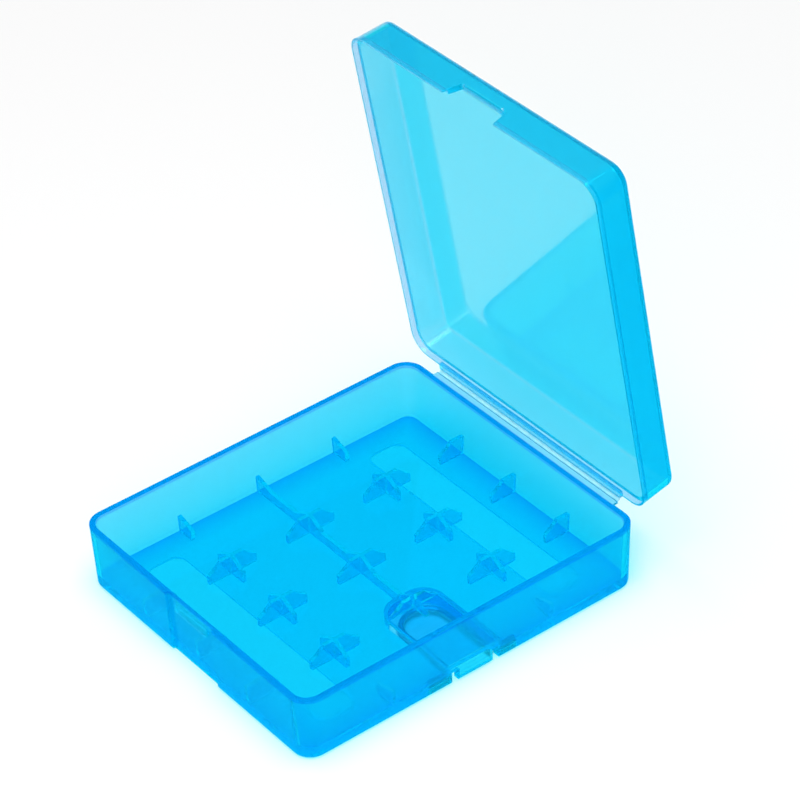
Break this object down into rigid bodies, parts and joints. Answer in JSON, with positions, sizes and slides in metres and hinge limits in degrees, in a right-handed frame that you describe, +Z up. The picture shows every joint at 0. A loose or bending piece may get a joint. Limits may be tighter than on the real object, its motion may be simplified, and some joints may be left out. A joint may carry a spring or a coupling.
{
  "type": "battery storage case",
  "caption": "Hinged translucent plastic case for round battery cells: cradle fins in the base, living hinge, finger bay at the front, and a fold-out wire hanging hook underneath.",
  "frame": {"origin": "centre of the flat underside of the base, on the surface it stands on", "axes": "+Z up, X along the cells with the hook under the +X wall, -Y the side that opens, +Y the hinge side"},
  "size_m": [0.072, 0.0909, 0.0978],
  "materials": {
    "base_plastic": "translucent blue polypropylene, smooth",
    "lid_plastic": "translucent blue polypropylene, smooth",
    "hinge_web_plastic": "blue polypropylene gone white where it bends",
    "steel_wire": "drawn stainless spring wire"
  },
  "bodies": {
    "base": {"base_tray": "base_plastic", "catch_ridge": "base_plastic", "cell_cross_1_1": "base_plastic", "cell_cross_1_2": "base_plastic", "cell_cross_1_3": "base_plastic", "cell_cross_2_1": "base_plastic", "cell_cross_2_2": "base_plastic", "cell_cross_2_3": "base_plastic", "cell_cross_3_1": "base_plastic", "cell_cross_3_2": "base_plastic", "cell_cross_3_3": "base_plastic", "hinge_base_flange": "base_plastic", "hinge_wall_fin_1": "base_plastic", "hinge_wall_fin_2": "base_plastic", "hinge_wall_fin_3": "base_plastic", "hinge_web": "hinge_web_plastic", "hook_pocket": "base_plastic", "hook_wall_fin_1": "base_plastic", "hook_wall_fin_3": "base_plastic", "latch_wall_fin_1": "base_plastic", "latch_wall_fin_2": "base_plastic", "latch_wall_fin_3": "base_plastic", "left_wall_fin_1": "base_plastic", "left_wall_fin_2": "base_plastic", "left_wall_fin_3": "base_plastic", "middle_rib_1": "base_plastic", "middle_rib_2": "base_plastic", "middle_rib_3": "base_plastic"},
    "lid": {"lid_shell": "lid_plastic", "lid_lift_lip": "lid_plastic", "hinge_lid_flange": "lid_plastic"},
    "hook": {"hanger_hook": "steel_wire"}
  },
  "joints": [
    {"name": "lid_hinge", "type": "hinge", "parent": "base", "child": "lid", "pos_m": [0, 0.0425, 0.0146], "axis": [1, 0, 0], "range_deg": [-98.7, 81.3], "deforming": ["hinge_web"]},
    {"name": "hook_swing", "type": "hinge", "parent": "base", "child": "hook", "pos_m": [0.033, 0, 0.00115], "axis": [0, -1, 0], "range_deg": [0, 180]}
  ]
}
